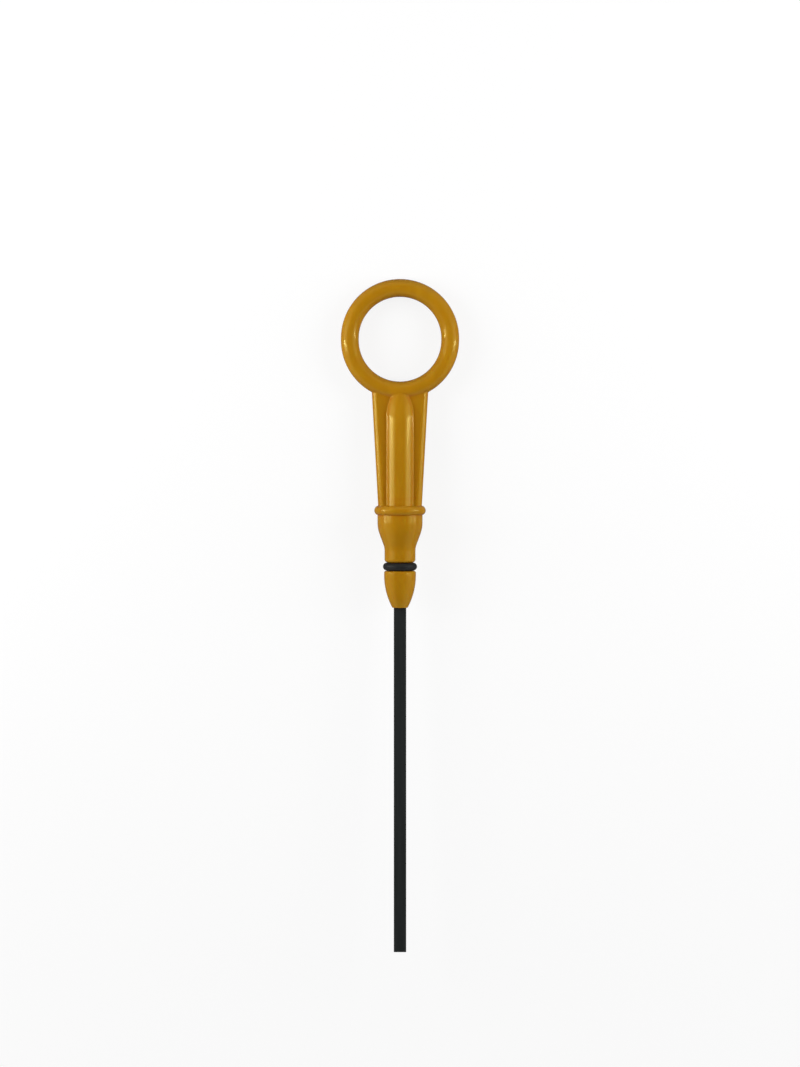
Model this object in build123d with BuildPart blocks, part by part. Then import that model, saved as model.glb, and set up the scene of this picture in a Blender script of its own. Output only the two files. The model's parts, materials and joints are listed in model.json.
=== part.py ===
from build123d import *
from math import asin, atan2, cos, hypot, radians, sin, tan
import os

# Engine oil dipstick: a moulded pull handle with a finger ring, a rubber seal ring in its groove and a
# flat blade whose tang is moulded into the handle. Millimetres, +Z up.
#
# The stick lies on its back, as it comes to rest on a flat surface: finger ring and collar touch the
# surface and the blade points up a little. All three pieces are drawn on one plane, "stick": its x runs
# across, its y runs along the stick towards the ring, its z is the front, and its origin is the middle
# of the collar.

# Finger ring: two half circles with a short straight side between them on the left and right
ring_outer_width = 36.0
ring_straight = 0.6  # length of each straight side
ring_bar_width = 5.45
ring_bar_thickness = 6.5
ring_distance = 52.1  # middle of the collar to middle of the ring
ring_root_radius = 0.4  # hollow where the stem runs into the ring

# Stem: a flat web that widens towards the ring, with a round rib on its front and back
web_inset = 0.27  # how far each side of the web's foot lies inside the barrel's outline
web_flare = 3.16  # degrees that each side leans outwards
web_thickness = 4.0
web_edge_land = 0.2  # flat left along the middle of the rounded side edges
web_foot_radius = 0.4  # hollow where the web meets the rib
rib_diameter = 9.0
rib_shoulder_drop = 5.45  # from the lower edge of the ring to where the rib starts to narrow
rib_point_length = 12.13  # from there to the point, which is buried in the ring

# Collar, barrel and neck
collar_height = 3.0
collar_stand = 0.97  # how far the rounded collar stands out from the barrel
barrel_diameter = 13.74
barrel_length = 5.5
barrel_round_reach = 1.78  # how far the round under the barrel runs down the cone
cone_length = 5.85
cone_hollow_reach = 0.88  # how far the hollow above the neck runs up the cone
neck_diameter = 9.44
neck_length = 4.48
neck_edge_radius = 0.9

# Seal ring and its groove
seal_section = 2.4
seal_side_clearance = 0.1
seal_flat = 0.1  # how far the round section is flattened where it grips the groove
groove_wall = 0.86  # plastic between the corners of the tang and the root of the groove

# Nose
nose_diameter = 9.72
nose_edge_radius = 0.6
nose_land = 1.35  # straight part below the groove
nose_length = 11.26
nose_wall = 0.31  # plastic left round the corners of the blade at the end of the nose
nose_end_radius = 0.25

# Blade
blade_width = 3.8
blade_thickness = 1.5
blade_length = 105.6  # what stands out of the nose
blade_edge_radius = 0.2
tang_length = 22.5
anchor_hole_diameter = 1.8
anchor_hole_setback = 4.0  # from the upper end of the tang

# Half widths and radii
ring_outer_radius = ring_outer_width / 2
ring_mean_radius = ring_outer_radius - ring_bar_width / 2
ring_half_length = ring_outer_radius + ring_straight / 2
barrel_radius = barrel_diameter / 2
web_foot = barrel_radius - web_inset
web_head = web_foot + ring_distance * tan(radians(web_flare))
web_edge_radius = (web_thickness - web_edge_land) / 2
rib_radius = rib_diameter / 2
collar_edge_radius = collar_height / 2
collar_rim_radius = barrel_radius + collar_stand - collar_edge_radius
neck_radius = neck_diameter / 2
half_cone_angle = atan2(barrel_radius - neck_radius, cone_length) / 2
barrel_round_radius = barrel_round_reach / tan(half_cone_angle)
cone_hollow_radius = cone_hollow_reach / tan(half_cone_angle)
tang_corner_radius = hypot(blade_width, blade_thickness) / 2
groove_root_radius = tang_corner_radius + groove_wall
seal_radius = seal_section / 2
seal_rim_radius = groove_root_radius + seal_radius - seal_flat
nose_radius = nose_diameter / 2
nose_tip_radius = tang_corner_radius + nose_wall

# Places along the stick, from the middle of the collar
rib_shoulder = ring_distance - ring_half_length - rib_shoulder_drop
rib_point = rib_shoulder + rib_point_length
cone_top = -barrel_length
neck_top = cone_top - cone_length
groove_top = neck_top - neck_length
groove_width = seal_section + 2 * seal_side_clearance
groove_middle = groove_top - groove_width / 2
nose_top = groove_top - groove_width
nose_shoulder = nose_top - nose_land
nose_tip = nose_top - nose_length
tang_top = nose_tip + tang_length
blade_tip = nose_tip - blade_length

# Rest: the surface is the common tangent of the collar's rim and of the far end of the ring
ring_end_distance = ring_distance + ring_straight / 2 + ring_mean_radius
rest_reach = hypot(ring_end_distance, collar_rim_radius)
rest_drop = ring_bar_thickness / 2 - collar_edge_radius
rest_tilt = atan2(collar_rim_radius, ring_end_distance) - asin(rest_drop / rest_reach)
rest_height = collar_rim_radius * cos(rest_tilt) + collar_edge_radius
rest_middle = (ring_distance + ring_half_length + blade_tip) / 2 * cos(rest_tilt)

stick = Plane((0, -rest_middle, rest_height), x_dir=(1, 0, 0), z_dir=(0, sin(rest_tilt), cos(rest_tilt)))
stick_axis = Axis(stick.origin, stick.y_dir)
ring_middle = stick.location * Location((0, ring_distance, 0))
ring_side = Plane((0, ring_straight / 2, 0), x_dir=(1, 0, 0), z_dir=(0, -1, 0))
half_turn = 180
quarter_turn = half_turn / 2

# Blade: flat strip with softened long edges, cut off square, with a hole that anchors its tang
with BuildPart() as blade:
    with BuildSketch(stick):
        with Locations((0, blade_tip)):
            Rectangle(blade_width, tang_top - blade_tip, align=(Align.CENTER, Align.MIN))
    extrude(amount=blade_thickness / 2, both=True)
    fillet(blade.edges().filter_by(stick_axis), blade_edge_radius)
    with BuildSketch(stick):
        with Locations((0, tang_top - anchor_hole_setback)):
            Circle(anchor_hole_diameter / 2)
    extrude(amount=blade_thickness, both=True, mode=Mode.SUBTRACT)

# Seal ring: round section, flattened on the inside where it grips the root of the groove
with BuildPart() as seal_ring:
    with BuildSketch(stick):
        with Locations((seal_rim_radius, groove_middle)):
            Circle(seal_radius)
        with Locations((0, groove_middle)):
            Rectangle(groove_root_radius, seal_section, align=(Align.MIN, Align.CENTER), mode=Mode.SUBTRACT)
    revolve(axis=stick_axis)

# Half of the finger ring, drawn about the ring's own middle: one straight side and one half circle of
# an oval bar whose front and back halves meet at the parting line of the mould
with BuildPart() as half_ring:
    with BuildSketch(ring_side) as ring_bar:
        with BuildLine():
            for start in (0, half_turn):
                EllipticalCenterArc(
                    (ring_mean_radius, 0),
                    ring_bar_width / 2,
                    ring_bar_thickness / 2,
                    start_angle=start,
                    arc_size=half_turn,
                )
        make_face()
    extrude(amount=ring_straight)
    revolve(ring_bar.sketch, axis=Axis(ring_side.origin, (0, 0, 1)), revolution_arc=half_turn)

# Finger ring: two such halves, half a turn apart
with BuildPart() as finger_ring:
    with Locations(ring_middle):
        with PolarLocations(0, 2):
            add(half_ring.part)

# Pull handle, moulded in one piece
with BuildPart() as pull_handle:
    # Web: a plate from the collar to the ring, wider at the ring, with rounded side edges
    with BuildSketch(stick):
        with BuildLine():
            Polyline(
                (-web_foot, 0),
                (web_foot, 0),
                (web_head, ring_distance),
                (-web_head, ring_distance),
                close=True,
            )
        make_face()
    extrude(amount=web_thickness / 2, both=True)
    fillet(pull_handle.edges().filter_by(GeomType.LINE).group_by(SortBy.LENGTH)[-1], web_edge_radius)

    # Rib: a round column with a pointed top, standing out of the web on the front and the back
    with BuildSketch(stick):
        with BuildLine():
            Polyline((0, rib_point), (0, 0), (rib_radius, 0), (rib_radius, rib_shoulder))
            TangentArc((rib_radius, rib_shoulder), (0, rib_point), tangent=(0, 1))
        make_face()
    revolve(axis=stick_axis)
    fillet(pull_handle.edges(Select.NEW), web_foot_radius)

    # Web and rib end inside the bar of the ring, on its middle line
    with BuildSketch(stick):
        with Locations((0, ring_distance)):
            SlotCenterToCenter(ring_straight, 2 * ring_mean_radius, rotation=quarter_turn)
    extrude(amount=ring_bar_thickness / 2, both=True, mode=Mode.SUBTRACT)
    add(finger_ring.part)
    fillet(pull_handle.edges(Select.NEW), ring_root_radius)

    # Collar: a disc with a fully rounded rim
    with BuildSketch(stick):
        Rectangle(collar_rim_radius, collar_height, align=(Align.MIN, Align.CENTER))
        with Locations((collar_rim_radius, 0)):
            Circle(collar_edge_radius)
    revolve(axis=stick_axis)

    # Barrel, cone, neck, seal groove and nose
    with BuildSketch(stick) as lower_half:
        with BuildLine():
            Polyline((0, nose_tip), (0, 0), (barrel_radius, 0))
            FilletPolyline(
                (barrel_radius, 0),
                (barrel_radius, cone_top),
                (neck_radius, neck_top),
                (neck_radius, groove_top),
                (groove_root_radius, groove_top),
                radius=(barrel_round_radius, cone_hollow_radius, neck_edge_radius),
            )
            Line((groove_root_radius, groove_top), (groove_root_radius, nose_top))
            FilletPolyline(
                (groove_root_radius, nose_top),
                (nose_radius, nose_top),
                (nose_radius, nose_shoulder),
                radius=nose_edge_radius,
            )
            TangentArc((nose_radius, nose_shoulder), (nose_tip_radius, nose_tip), tangent=(0, -1))
            Line((nose_tip_radius, nose_tip), (0, nose_tip))
        make_face()
        fillet(lower_half.vertices().group_by(Axis.Y)[0].sort_by(Axis.X)[-1], nose_end_radius)
    revolve(axis=stick_axis)

    # Pocket that the tang of the blade fills
    add(blade.part, mode=Mode.SUBTRACT)

pull_handle.part.label = "pull_handle"
seal_ring.part.label = "seal_ring"
blade.part.label = "blade"

os.makedirs("parts", exist_ok=True)
export_step(pull_handle.part, "parts/pull_handle.step")
export_step(seal_ring.part, "parts/seal_ring.step")
export_step(blade.part, "parts/blade.step")
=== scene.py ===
import json
import math

import bpy
import numpy as np
from bpy.props import FloatProperty, FloatVectorProperty, PointerProperty
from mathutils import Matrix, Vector


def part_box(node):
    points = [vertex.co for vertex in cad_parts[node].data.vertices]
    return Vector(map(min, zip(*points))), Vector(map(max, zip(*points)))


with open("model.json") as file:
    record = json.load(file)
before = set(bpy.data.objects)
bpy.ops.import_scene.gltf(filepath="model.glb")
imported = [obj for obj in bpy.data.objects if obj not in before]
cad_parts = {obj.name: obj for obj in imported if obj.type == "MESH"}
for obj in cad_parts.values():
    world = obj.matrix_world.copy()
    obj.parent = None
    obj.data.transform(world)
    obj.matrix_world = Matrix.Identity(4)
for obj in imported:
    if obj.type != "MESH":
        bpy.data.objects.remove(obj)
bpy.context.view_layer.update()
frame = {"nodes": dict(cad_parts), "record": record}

bl_info = {
    "name": "Engine Oil Dipstick",
    "version": (1, 0, 0),
    "blender": (4, 5, 0),
    "location": "View3D > Sidebar > Dipstick",
    "description": "Finishes the handle, seal ring and blade of a lying dipstick and sets its stage",
    "category": "Object",
}

pieces = frame["nodes"]

# The tube's mouth on the barrel lies on the axis of the stick and gives the axis its direction.
mouth = next(mount for mount in frame["record"]["mounts"] if mount["name"] == "tube_mouth")
mouth_place = Vector(mouth["pos_m"])
towards_tip = Vector(mouth["axis"])
rest_tilt = math.atan2(towards_tip.z, -towards_tip.y)

# Painted shade in the handle's hollows: openness of the deepest place, where the shade is full, and of
# an open one, where it is gone, and the rays that measure it
deepest_hollow = 0.6
open_surface = 0.98
hollow_rays = 16

# Band above the collar, at the foot of the rib, where no shade is painted into the hollows and the plain
# colour stays
rib_foot_distance = 0.0048
rib_foot_band = 0.008

# How finely the soft random patterns of patches, streaks and ripples break up
patch_detail = 2.0
streak_detail = 3.0
ripple_detail = 1.0

# Values of a soft random pattern between which a roughness and a colour change
roughness_span = (0.3, 0.7)
tone_span = (0.35, 0.65)

# Sockets of a Mix node for colours, which share their names with its sockets for numbers
mix_first = 6
mix_second = 7
mix_result = 2

# Light tent: heights, as the sine of the angle above the ground, between which its walls give way to its
# ceiling, and turns from the ends to the sides, as the sine of the angle, over which the walls brighten
wall_top = (0.45, 0.8)
wall_turn = (0.2, 0.9)

# Distances from the middle of the stick over which the floor fades to white
floor_fade = (0.12, 0.5)

# Panels above and beyond the finger ring and the nose: places from the picture's middle, and their size
ring_panel_place = Vector((0.0, 0.28, 0.2))
nose_panel_place = Vector((0.0, -0.3, 0.18))
end_panel_size = (0.3, 0.1)

# Washes on both sides: distance of their foot from the tube's mouth towards the ring, how far out and up
# from there they hang, and their size
wash_along = 0.12
wash_out = 0.25
wash_up = 0.2
wash_size = (0.16, 0.16)

# Panels of each softbox, as the stick sees them: lowest and highest angle above the ground in degrees,
# ends in metres from the tube's mouth towards the ring, and share of the softbox's brightness
left_panels = (
    (-4.0, 13.0, -0.0225, -0.0105, 0.05),
    (-4.0, 13.0, -0.0105, -0.0015, 0.35),
    (-2.0, 13.0, -0.0015, 0.0365, 0.31),
    (12.0, 29.0, 0.0005, 0.0365, 0.3),
    (-2.0, 13.0, 0.0365, 0.0575, 0.9),
    (12.0, 29.0, 0.0365, 0.0575, 1.0),
    (28.0, 42.0, 0.0015, 0.0515, 0.19),
    (0.0, 52.0, -0.0205, 0.2005, 0.1),
)
right_panels = (
    (2.0, 14.0, -0.0105, -0.0015, 0.2),
    (2.0, 14.0, -0.0015, 0.0365, 0.13),
    (14.0, 32.0, -0.0015, 0.0365, 0.13),
    (2.0, 14.0, 0.0365, 0.0565, 1.0),
    (14.0, 32.0, 0.0365, 0.0565, 1.0),
    (29.0, 41.0, 0.0005, 0.0505, 0.15),
    (1.0, 52.0, -0.0345, 0.1955, 0.07),
)


def colour_of(name, description, default):
    """A colour that a user may change."""
    return FloatVectorProperty(
        name=name, description=description, subtype="COLOR", min=0.0, max=1.0, default=default
    )


def length_of(name, description, default):
    """A length that a user may change."""
    return FloatProperty(name=name, description=description, unit="LENGTH", min=0.0, default=default)


def share_of(name, description, default):
    """A share from 0 to 1 that a user may change."""
    return FloatProperty(
        name=name, description=description, subtype="FACTOR", min=0.0, max=1.0, default=default
    )


def brightness_of(name, description, default):
    """A brightness that a user may change, where 1 shines as white paper in full light."""
    return FloatProperty(name=name, description=description, min=0.0, max=100.0, default=default)


class HandleFinish(bpy.types.PropertyGroup):
    """Golden, glossy moulded plastic of the pull handle."""

    colour: colour_of("Plastic", "Main colour of the moulded plastic", (0.43, 0.202, 0.006))
    deep_colour: colour_of(
        "Flow Streaks", "Deeper colour where the melt flowed last", (0.39, 0.178, 0.005)
    )
    flow_width: length_of("Flow Streak Width", "Width of one flow streak", 0.004)
    flow_length: length_of("Flow Streak Length", "Length of one flow streak along the stick", 0.02)
    # Painted shade: a darker, redder colour laid into the hollows, where walls stand near and shade
    # falls
    painted_shade_colour: colour_of("Hollows", "Redder colour deep in the hollows", (0.4, 0.105, 0.003))
    painted_shade_reach: length_of(
        "Hollow Reach", "How near another wall has to be to deepen the colour", 0.003
    )
    glow: share_of("Glow", "Share of the light that sinks in and comes out beside its place", 0.3)
    glow_colour: colour_of("Glow Colour", "How far red, green and blue run in it", (1.0, 0.45, 0.08))
    glow_depth: length_of("Glow Depth", "How far the light runs in the plastic", 0.0012)
    gloss: share_of("Gloss", "Strength of what the surface mirrors", 0.3)
    gloss_tint: colour_of("Gloss Tint", "Colour that what it mirrors takes on", (1.0, 0.9, 0.24))
    roughness: share_of("Roughness", "Middle roughness of the polished moulding", 0.1)
    roughness_spread: share_of("Roughness Spread", "How far the roughness strays from its middle", 0.03)
    polish_size: length_of("Polish Patches", "Width of the patches of better and worse polish", 0.006)
    ripple_size: length_of("Ripple Size", "Width of the faint ripples in the gloss", 0.0009)
    ripple_height: length_of("Ripple Height", "Height of the faint ripples in the gloss", 0.000003)
    seam_width: length_of("Parting Line Width", "Width of the parting line along both sides", 0.0003)
    seam_height: length_of("Parting Line Height", "How far the parting line stands out", 0.00003)


class SealFinish(bpy.types.PropertyGroup):
    """Matt black rubber of the seal ring."""

    colour: colour_of("Rubber", "Main colour of the rubber", (0.007, 0.007, 0.007))
    bloom_colour: colour_of("Bloom", "Greyer colour of the dry patches", (0.011, 0.011, 0.0105))
    bloom_size: length_of("Bloom Patches", "Width of the dry patches", 0.0015)
    gloss: share_of("Gloss", "Strength of what the surface mirrors", 0.25)
    roughness: share_of("Roughness", "Middle roughness of the rubber", 0.55)
    roughness_spread: share_of("Roughness Spread", "How far the roughness strays from its middle", 0.08)
    grain_size: length_of("Grain Size", "Width of the fine grain of the rubber", 0.0002)
    grain_height: length_of("Grain Height", "Height of the fine grain of the rubber", 0.000008)
    flash_width: length_of(
        "Flash Line Width", "Width of the trimmed flash line round the outside", 0.00016
    )
    flash_height: length_of("Flash Line Height", "How far the trimmed flash line stands out", 0.00003)


class BladeFinish(bpy.types.PropertyGroup):
    """Satin black nylon of the blade."""

    colour: colour_of("Nylon", "Main colour of the nylon strip", (0.010, 0.0125, 0.012))
    streak_colour: colour_of("Streaks", "Paler colour of the streaks", (0.015, 0.0175, 0.017))
    streak_width: length_of("Streak Width", "Width of one streak", 0.00025)
    streak_length: length_of("Streak Length", "Length of one streak", 0.03)
    streak_height: length_of("Streak Height", "Height of one streak", 0.000006)
    gloss: share_of("Gloss", "Strength of what the surface mirrors", 0.4)
    roughness: share_of("Roughness", "Middle roughness of the strip", 0.45)
    roughness_spread: share_of("Roughness Spread", "How far the roughness strays from its middle", 0.06)


class StageSettings(bpy.types.PropertyGroup):
    """Floor, lamps and camera."""

    floor_colour: colour_of("Floor", "Colour of the plain floor", (0.92, 0.92, 0.92))
    floor_white: share_of("Floor White", "How far the floor by the stick is washed out to white", 0.85)
    bounce_colour: colour_of("Floor Bounce", "Colour that the floor throws back", (0.28, 0.28, 0.28))
    floor_size: length_of("Floor Size", "Length of each side of the floor", 12.0)
    side_wall_light: brightness_of("Side Walls", "Light tent's walls on the left and right", 1.0)
    end_wall_light: brightness_of("End Walls", "Light tent's walls beyond the ring and the tip", 0.2)
    ceiling_light: brightness_of("Ceiling", "Light tent's dim ceiling", 0.06)
    ring_panel_light: brightness_of("Ring Panel", "Panel above and beyond the finger ring", 0.9)
    nose_panel_light: brightness_of("Nose Panel", "Panel above and beyond the nose", 0.6)
    wash_light: brightness_of("Side Washes", "Broad panels that light the sides without gloss", 4.5)
    left_light: brightness_of("Left Softbox", "Brightest panel of the softbox on the left", 17.0)
    right_light: brightness_of("Right Softbox", "Brightest panel of the softbox on the right", 16.0)
    softbox_distance: length_of("Softbox Distance", "Distance of both softboxes from the stick", 0.4)
    lens: FloatProperty(
        name="Lens", description="Focal length of the camera",
        subtype="DISTANCE_CAMERA", min=10.0, max=400.0, default=100.0,
    )
    picture_height: length_of("Picture Height", "Height of the picture at the stick", 0.3254)
    picture_middle: length_of("Picture Middle", "From the tube's mouth to the picture's middle", 0.00448)
    camera_lean: FloatProperty(
        name="Camera Lean", description="How far the camera leans from straight above towards the ring",
        subtype="ANGLE", min=0.0, max=1.5, default=math.radians(5.88),
    )


class DipstickSettings(bpy.types.PropertyGroup):
    """All settings of the dipstick."""

    handle: PointerProperty(type=HandleFinish)
    seal: PointerProperty(type=SealFinish)
    blade: PointerProperty(type=BladeFinish)
    stage: PointerProperty(type=StageSettings)


def add_node(tree, kind, inputs=None, **settings):
    """Add one node; settings are its own options, inputs gives each socket a value or a link."""
    node = tree.nodes.new(kind)
    for option, value in settings.items():
        setattr(node, option, value)
    for socket, value in (inputs or {}).items():
        if isinstance(value, bpy.types.NodeSocket):
            tree.links.new(value, node.inputs[socket])
        else:
            node.inputs[socket].default_value = value
    return node


def empty_tree(owner):
    """The node tree of a material or a world, with no node in it."""
    owner.use_nodes = True
    owner.node_tree.nodes.clear()
    return owner.node_tree


def start_material(name):
    """A new material with an output and a principled shader, returned with its tree and shader."""
    material = bpy.data.materials.new(name)
    tree = empty_tree(material)
    shader = add_node(tree, "ShaderNodeBsdfPrincipled")
    add_node(tree, "ShaderNodeOutputMaterial", {"Surface": shader.outputs["BSDF"]})
    return material, tree, shader


def stick_coordinates(tree, origin):
    """Coordinates along the stick: x across, y towards the ring, z out of the front, zero at origin."""
    place = add_node(tree, "ShaderNodeTexCoord")
    turned = add_node(
        tree, "ShaderNodeMapping",
        {"Vector": place.outputs["Object"], "Location": origin, "Rotation": (-rest_tilt, 0.0, 0.0)},
        vector_type="TEXTURE",
    )
    return turned.outputs["Vector"]


def combine(tree, operation, *values):
    """One number worked out from one or two others."""
    combined = add_node(tree, "ShaderNodeMath", dict(enumerate(values)), operation=operation)
    return combined.outputs["Value"]


def carry_over(tree, value, old, new, smooth=False):
    """Carry a value from the range old over to the range new, and hold it there beyond both ends."""
    carried = add_node(
        tree, "ShaderNodeMapRange",
        {"Value": value, "From Min": old[0], "From Max": old[1], "To Min": new[0], "To Max": new[1]},
        interpolation_type="SMOOTHSTEP" if smooth else "LINEAR",
    )
    return carried.outputs["Result"]


def mix_colours(tree, share, first, second):
    """Colour that is first where share is 0 and second where it is 1."""
    mixed = add_node(
        tree, "ShaderNodeMix", {"Factor": share, mix_first: first, mix_second: second}, data_type="RGBA"
    )
    return mixed.outputs[mix_result]


def cloudy(tree, coordinates, size, stretch=(1.0, 1.0, 1.0), detail=patch_detail):
    """Soft random pattern from 0 to 1 whose patches are size wide, times stretch in each direction."""
    scaled = add_node(
        tree, "ShaderNodeMapping",
        {"Vector": coordinates, "Scale": [1.0 / (size * factor) for factor in stretch]},
    )
    noise = add_node(
        tree, "ShaderNodeTexNoise",
        {"Vector": scaled.outputs["Vector"], "Scale": 1.0, "Detail": detail},
    )
    return noise.outputs["Fac"]


def spread(tree, value, middle, reach):
    """Stretch the middle of a soft random pattern to the range that reaches both ways from middle."""
    return carry_over(tree, value, roughness_span, (middle - reach, middle + reach))


def two_tone(tree, value, first, second):
    """Colour that runs from first to second over the middle of a soft random pattern."""
    ramp = add_node(tree, "ShaderNodeValToRGB", {"Fac": value})
    ends = ramp.color_ramp.elements
    ends[0].position, ends[1].position = tone_span
    ends[0].color, ends[1].color = (*first, 1.0), (*second, 1.0)
    return ramp.outputs["Color"]


def ridge(tree, coordinates, direction, width):
    """1 on the plane through zero across one direction, falling smoothly to 0 half a width away."""
    parts = add_node(tree, "ShaderNodeSeparateXYZ", {"Vector": coordinates})
    away = combine(tree, "ABSOLUTE", parts.outputs[direction])
    return carry_over(tree, away, (0.0, width / 2), (1.0, 0.0), smooth=True)


def raise_surface(tree, pattern, height, below=None):
    """Bumps as high as height where pattern is 1, laid over the bumps below."""
    inputs = {"Height": pattern, "Distance": height}
    if below is not None:
        inputs["Normal"] = below
    return add_node(tree, "ShaderNodeBump", inputs).outputs["Normal"]


def wear(piece, material):
    """Give a piece its material."""
    pieces[piece].material_slots[0].material = material


class DIPSTICK_OT_finish_handle(bpy.types.Operator):
    """Give the pull handle its golden moulded plastic"""

    bl_idname = "dipstick.finish_handle"
    bl_label = "Finish Pull Handle"
    bl_options = {"REGISTER", "UNDO"}

    def execute(self, context):
        finish = context.scene.dipstick.handle
        material, tree, shader = start_material("golden_moulded_plastic")
        along = stick_coordinates(tree, mouth_place)

        longer = finish.flow_length / finish.flow_width
        flow = cloudy(tree, along, finish.flow_width, stretch=(1.0, longer, 1.0), detail=streak_detail)
        tone = two_tone(tree, flow, finish.deep_colour, finish.colour)
        # Painted shade: the colour turns to the darker, redder shade colour where other walls stand
        # near, as occlusion measures it
        hollows = add_node(
            tree, "ShaderNodeAmbientOcclusion",
            {"Distance": finish.painted_shade_reach}, samples=hollow_rays, only_local=True,
        )
        openness = carry_over(tree, hollows.outputs["AO"], (deepest_hollow, open_surface), (0.0, 1.0))
        # The painted shade is left out in a band at the rib's foot above the collar
        above_collar = stick_coordinates(tree, mouth_place - rib_foot_distance * towards_tip)
        rib_foot = ridge(tree, above_collar, "Y", rib_foot_band)
        plain = combine(tree, "MAXIMUM", openness, rib_foot)
        shade = mix_colours(tree, plain, (*finish.painted_shade_colour, 1.0), tone)
        tree.links.new(shade, shader.inputs["Base Color"])
        shader.inputs["Specular IOR Level"].default_value = finish.gloss
        shader.inputs["Specular Tint"].default_value = (*finish.gloss_tint, 1.0)
        shader.inputs["Subsurface Weight"].default_value = finish.glow
        shader.inputs["Subsurface Radius"].default_value = finish.glow_colour
        shader.inputs["Subsurface Scale"].default_value = finish.glow_depth

        polish = cloudy(tree, along, finish.polish_size)
        polished = spread(tree, polish, finish.roughness, finish.roughness_spread)
        tree.links.new(polished, shader.inputs["Roughness"])

        ripples = cloudy(tree, along, finish.ripple_size, detail=ripple_detail)
        rippled = raise_surface(tree, ripples, finish.ripple_height)
        seam = ridge(tree, along, "Z", finish.seam_width)
        seamed = raise_surface(tree, seam, finish.seam_height, below=rippled)
        tree.links.new(seamed, shader.inputs["Normal"])

        wear("pull_handle", material)
        return {"FINISHED"}


class DIPSTICK_OT_finish_seal(bpy.types.Operator):
    """Give the seal ring its matt black rubber"""

    bl_idname = "dipstick.finish_seal"
    bl_label = "Finish Seal Ring"
    bl_options = {"REGISTER", "UNDO"}

    def execute(self, context):
        finish = context.scene.dipstick.seal
        material, tree, shader = start_material("black_seal_rubber")
        low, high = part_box("seal_ring")
        along = stick_coordinates(tree, (low + high) / 2)

        dryness = cloudy(tree, along, finish.bloom_size)
        tone = two_tone(tree, dryness, finish.colour, finish.bloom_colour)
        tree.links.new(tone, shader.inputs["Base Color"])
        dulled = spread(tree, dryness, finish.roughness, finish.roughness_spread)
        tree.links.new(dulled, shader.inputs["Roughness"])
        shader.inputs["Specular IOR Level"].default_value = finish.gloss

        grain = cloudy(tree, along, finish.grain_size)
        grained = raise_surface(tree, grain, finish.grain_height)
        flash = ridge(tree, along, "Y", finish.flash_width)
        flashed = raise_surface(tree, flash, finish.flash_height, below=grained)
        tree.links.new(flashed, shader.inputs["Normal"])

        wear("seal_ring", material)
        return {"FINISHED"}


class DIPSTICK_OT_finish_blade(bpy.types.Operator):
    """Give the blade its satin black nylon"""

    bl_idname = "dipstick.finish_blade"
    bl_label = "Finish Blade"
    bl_options = {"REGISTER", "UNDO"}

    def execute(self, context):
        finish = context.scene.dipstick.blade
        material, tree, shader = start_material("satin_black_nylon")
        along = stick_coordinates(tree, mouth_place)

        longer = finish.streak_length / finish.streak_width
        streaks = cloudy(
            tree, along, finish.streak_width, stretch=(1.0, longer, 1.0), detail=streak_detail
        )
        tone = two_tone(tree, streaks, finish.colour, finish.streak_colour)
        tree.links.new(tone, shader.inputs["Base Color"])
        drawn = spread(tree, streaks, finish.roughness, finish.roughness_spread)
        tree.links.new(drawn, shader.inputs["Roughness"])
        streaked = raise_surface(tree, streaks, finish.streak_height)
        tree.links.new(streaked, shader.inputs["Normal"])
        shader.inputs["Specular IOR Level"].default_value = finish.gloss

        wear("blade", material)
        return {"FINISHED"}


def lay_floor(settings):
    """A flat square in the plane of the ground: x and y each run over half a side both ways."""
    half = settings.floor_size / 2
    across, along = np.meshgrid((-half, half), (-half, half))
    corners = np.column_stack((across.ravel(), along.ravel(), np.zeros(across.size)))
    mesh = bpy.data.meshes.new("floor")
    mesh.from_pydata(corners.tolist(), [], [(0, 1, 3, 2)])
    floor = bpy.data.objects.new("floor", mesh)
    bpy.context.scene.collection.objects.link(floor)
    mesh.materials.append(floor_material(settings))


def seen_directly(tree):
    """1 for what the camera sees directly, in a mirror or through glass, and 0 for what only lights."""
    path = add_node(tree, "ShaderNodeLightPath")
    seen = path.outputs["Is Camera Ray"]
    for ray in ("Is Glossy Ray", "Is Transmission Ray"):
        seen = combine(tree, "MAXIMUM", seen, path.outputs[ray])
    return seen


def floor_material(settings):
    """Pale matt floor that keeps the stick's soft shadow and fades to white further off."""
    material = bpy.data.materials.new("pale_floor")
    tree = empty_tree(material)
    in_picture = add_node(tree, "ShaderNodeLightPath").outputs["Is Camera Ray"]
    pale = mix_colours(tree, in_picture, (*settings.bounce_colour, 1.0), (*settings.floor_colour, 1.0))
    matt = add_node(tree, "ShaderNodeBsdfDiffuse", {"Color": pale})
    white = add_node(tree, "ShaderNodeEmission")
    place = add_node(tree, "ShaderNodeTexCoord")
    away = add_node(tree, "ShaderNodeVectorMath", {0: place.outputs["Object"]}, operation="LENGTH")

    # By the stick the floor is washed out in the picture alone, and further off in mirrors and glass too
    shares = []
    for least, seen in ((settings.floor_white, in_picture), (0.0, seen_directly(tree))):
        fade = carry_over(tree, away.outputs["Value"], floor_fade, (least, 1.0))
        shares.append(combine(tree, "MULTIPLY", fade, seen))
    both = add_node(
        tree, "ShaderNodeMixShader",
        {
            "Fac": combine(tree, "MAXIMUM", *shares),
            1: matt.outputs["BSDF"], 2: white.outputs["Emission"],
        },
    )
    add_node(tree, "ShaderNodeOutputMaterial", {"Surface": both.outputs["Shader"]})
    return material


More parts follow.
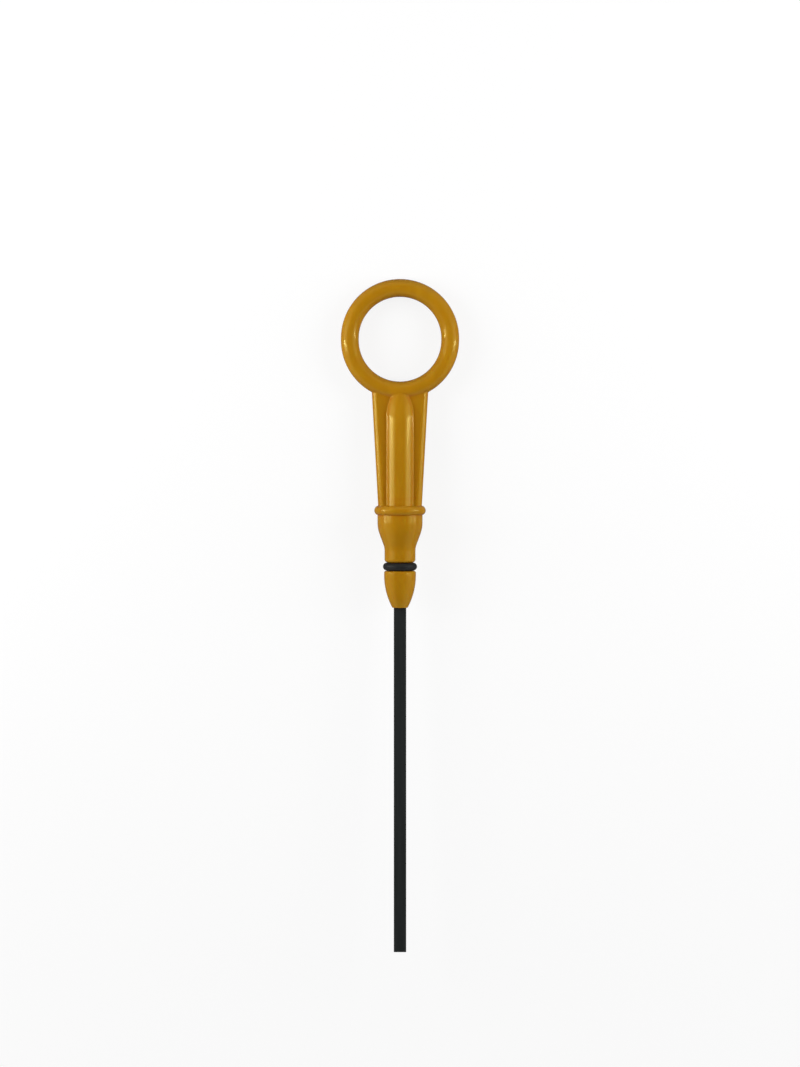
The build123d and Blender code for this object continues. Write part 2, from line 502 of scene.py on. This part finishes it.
def light_tent(settings):
    """Light tent: a dim ceiling over bright walls, which are white where they are seen directly."""
    world = bpy.data.worlds.new("light_tent")
    tree = empty_tree(world)
    direction = add_node(tree, "ShaderNodeTexCoord")
    parts = add_node(tree, "ShaderNodeSeparateXYZ", {"Vector": direction.outputs["Generated"]})
    wall = carry_over(tree, parts.outputs["Z"], wall_top, (1.0, 0.0), smooth=True)
    sideways = combine(tree, "ABSOLUTE", parts.outputs["X"])
    wall_range = (settings.end_wall_light, settings.side_wall_light)
    wall_light = carry_over(tree, sideways, wall_turn, wall_range, smooth=True)
    light = carry_over(tree, wall, (0.0, 1.0), (settings.ceiling_light, wall_light))
    tent = add_node(tree, "ShaderNodeBackground", {"Strength": light})
    white = add_node(tree, "ShaderNodeBackground", {"Strength": 1.0})
    for background in (tent, white):
        background.inputs["Color"].default_value = (1.0, 1.0, 1.0, 1.0)
    both = add_node(
        tree, "ShaderNodeMixShader",
        {
            "Fac": combine(tree, "MULTIPLY", wall, seen_directly(tree)),
            1: tent.outputs["Background"], 2: white.outputs["Background"],
        },
    )
    add_node(tree, "ShaderNodeOutputWorld", {"Surface": both.outputs["Shader"]})
    bpy.context.scene.world = world


def hang_lamp(name, place, target, size, brightness, mirrored=True):
    """A flat soft lamp at place that faces target; brightness 1 shines as white paper in full light."""
    data = bpy.data.lights.new(name, "AREA")
    data.shape = "RECTANGLE"
    data.size, data.size_y = size
    data.energy = brightness * math.pi * data.size * data.size_y
    lamp = bpy.data.objects.new(name, data)
    lamp.location = place
    lamp.rotation_euler = (target - place).to_track_quat("-Z", "Y").to_euler()
    lamp.visible_camera = False
    lamp.visible_glossy = mirrored
    bpy.context.scene.collection.objects.link(lamp)


def hang_softbox(name, side, distance, brightness, panels):
    """A softbox of flat panels on one side of the stick, -1 for left and 1 for right."""
    for number, (lowest, highest, tip_end, ring_end, share) in enumerate(panels):
        foot = mouth_place - (tip_end + ring_end) / 2 * towards_tip
        middle = math.radians(lowest + highest) / 2
        spread_angle = math.radians(highest - lowest)
        place = foot + distance * Vector((side * math.cos(middle), 0.0, math.sin(middle)))
        size = (ring_end - tip_end, 2 * distance * math.tan(spread_angle / 2))
        hang_lamp(f"{name}_{number}", place, foot, size, share * brightness)


def place_camera(settings, target):
    """A camera above target that leans towards the finger ring, with the ring at the picture's top."""
    data = bpy.data.cameras.new("camera")
    data.lens = settings.lens
    camera = bpy.data.objects.new("camera", data)
    distance = settings.picture_height * data.lens / data.sensor_width
    lean = settings.camera_lean
    camera.location = target + distance * Vector((0.0, math.sin(lean), math.cos(lean)))
    camera.rotation_euler = (-lean, 0.0, 0.0)
    bpy.context.scene.collection.objects.link(camera)
    bpy.context.scene.camera = camera


class DIPSTICK_OT_set_stage(bpy.types.Operator):
    """Lay the floor, light the room, hang the lamps and place the camera"""

    bl_idname = "dipstick.set_stage"
    bl_label = "Set Stage"
    bl_options = {"REGISTER", "UNDO"}

    def execute(self, context):
        settings = context.scene.dipstick.stage
        context.scene.view_settings.view_transform = "Standard"
        target = mouth_place + settings.picture_middle * towards_tip

        lay_floor(settings)
        light_tent(settings)
        for name, offset, brightness in (
            ("ring_panel", ring_panel_place, settings.ring_panel_light),
            ("nose_panel", nose_panel_place, settings.nose_panel_light),
        ):
            hang_lamp(name, target + offset, target, end_panel_size, brightness, mirrored=False)
        distance = settings.softbox_distance
        wash_foot = mouth_place - wash_along * towards_tip
        for name, side, brightness, panels in (
            ("left", -1.0, settings.left_light, left_panels),
            ("right", 1.0, settings.right_light, right_panels),
        ):
            place = wash_foot + Vector((side * wash_out, 0.0, wash_up))
            hang_lamp(f"{name}_wash", place, wash_foot, wash_size, settings.wash_light, mirrored=False)
            hang_softbox(f"{name}_softbox", side, distance, brightness, panels)
        place_camera(settings, target)
        return {"FINISHED"}


class DIPSTICK_PT_panel(bpy.types.Panel):
    """Settings and steps of the dipstick"""

    bl_idname = "DIPSTICK_PT_panel"
    bl_label = "Engine Oil Dipstick"
    bl_space_type = "VIEW_3D"
    bl_region_type = "UI"
    bl_category = "Dipstick"

    def draw(self, context):
        dipstick = context.scene.dipstick
        for settings, operator in (
            (dipstick.handle, "dipstick.finish_handle"),
            (dipstick.seal, "dipstick.finish_seal"),
            (dipstick.blade, "dipstick.finish_blade"),
            (dipstick.stage, "dipstick.set_stage"),
        ):
            box = self.layout.box()
            for setting in settings.__annotations__:
                box.prop(settings, setting)
            box.operator(operator)


classes = (
    HandleFinish,
    SealFinish,
    BladeFinish,
    StageSettings,
    DipstickSettings,
    DIPSTICK_OT_finish_handle,
    DIPSTICK_OT_finish_seal,
    DIPSTICK_OT_finish_blade,
    DIPSTICK_OT_set_stage,
    DIPSTICK_PT_panel,
)


def register():
    for cls in classes:
        bpy.utils.register_class(cls)
    bpy.types.Scene.dipstick = PointerProperty(type=DipstickSettings)


def unregister():
    del bpy.types.Scene.dipstick
    for cls in reversed(classes):
        bpy.utils.unregister_class(cls)


def main():
    """Finish the three pieces and set the stage."""
    register()
    bpy.ops.dipstick.finish_handle()
    bpy.ops.dipstick.finish_seal()
    bpy.ops.dipstick.finish_blade()
    bpy.ops.dipstick.set_stage()


if __name__ == "__main__":
    main()
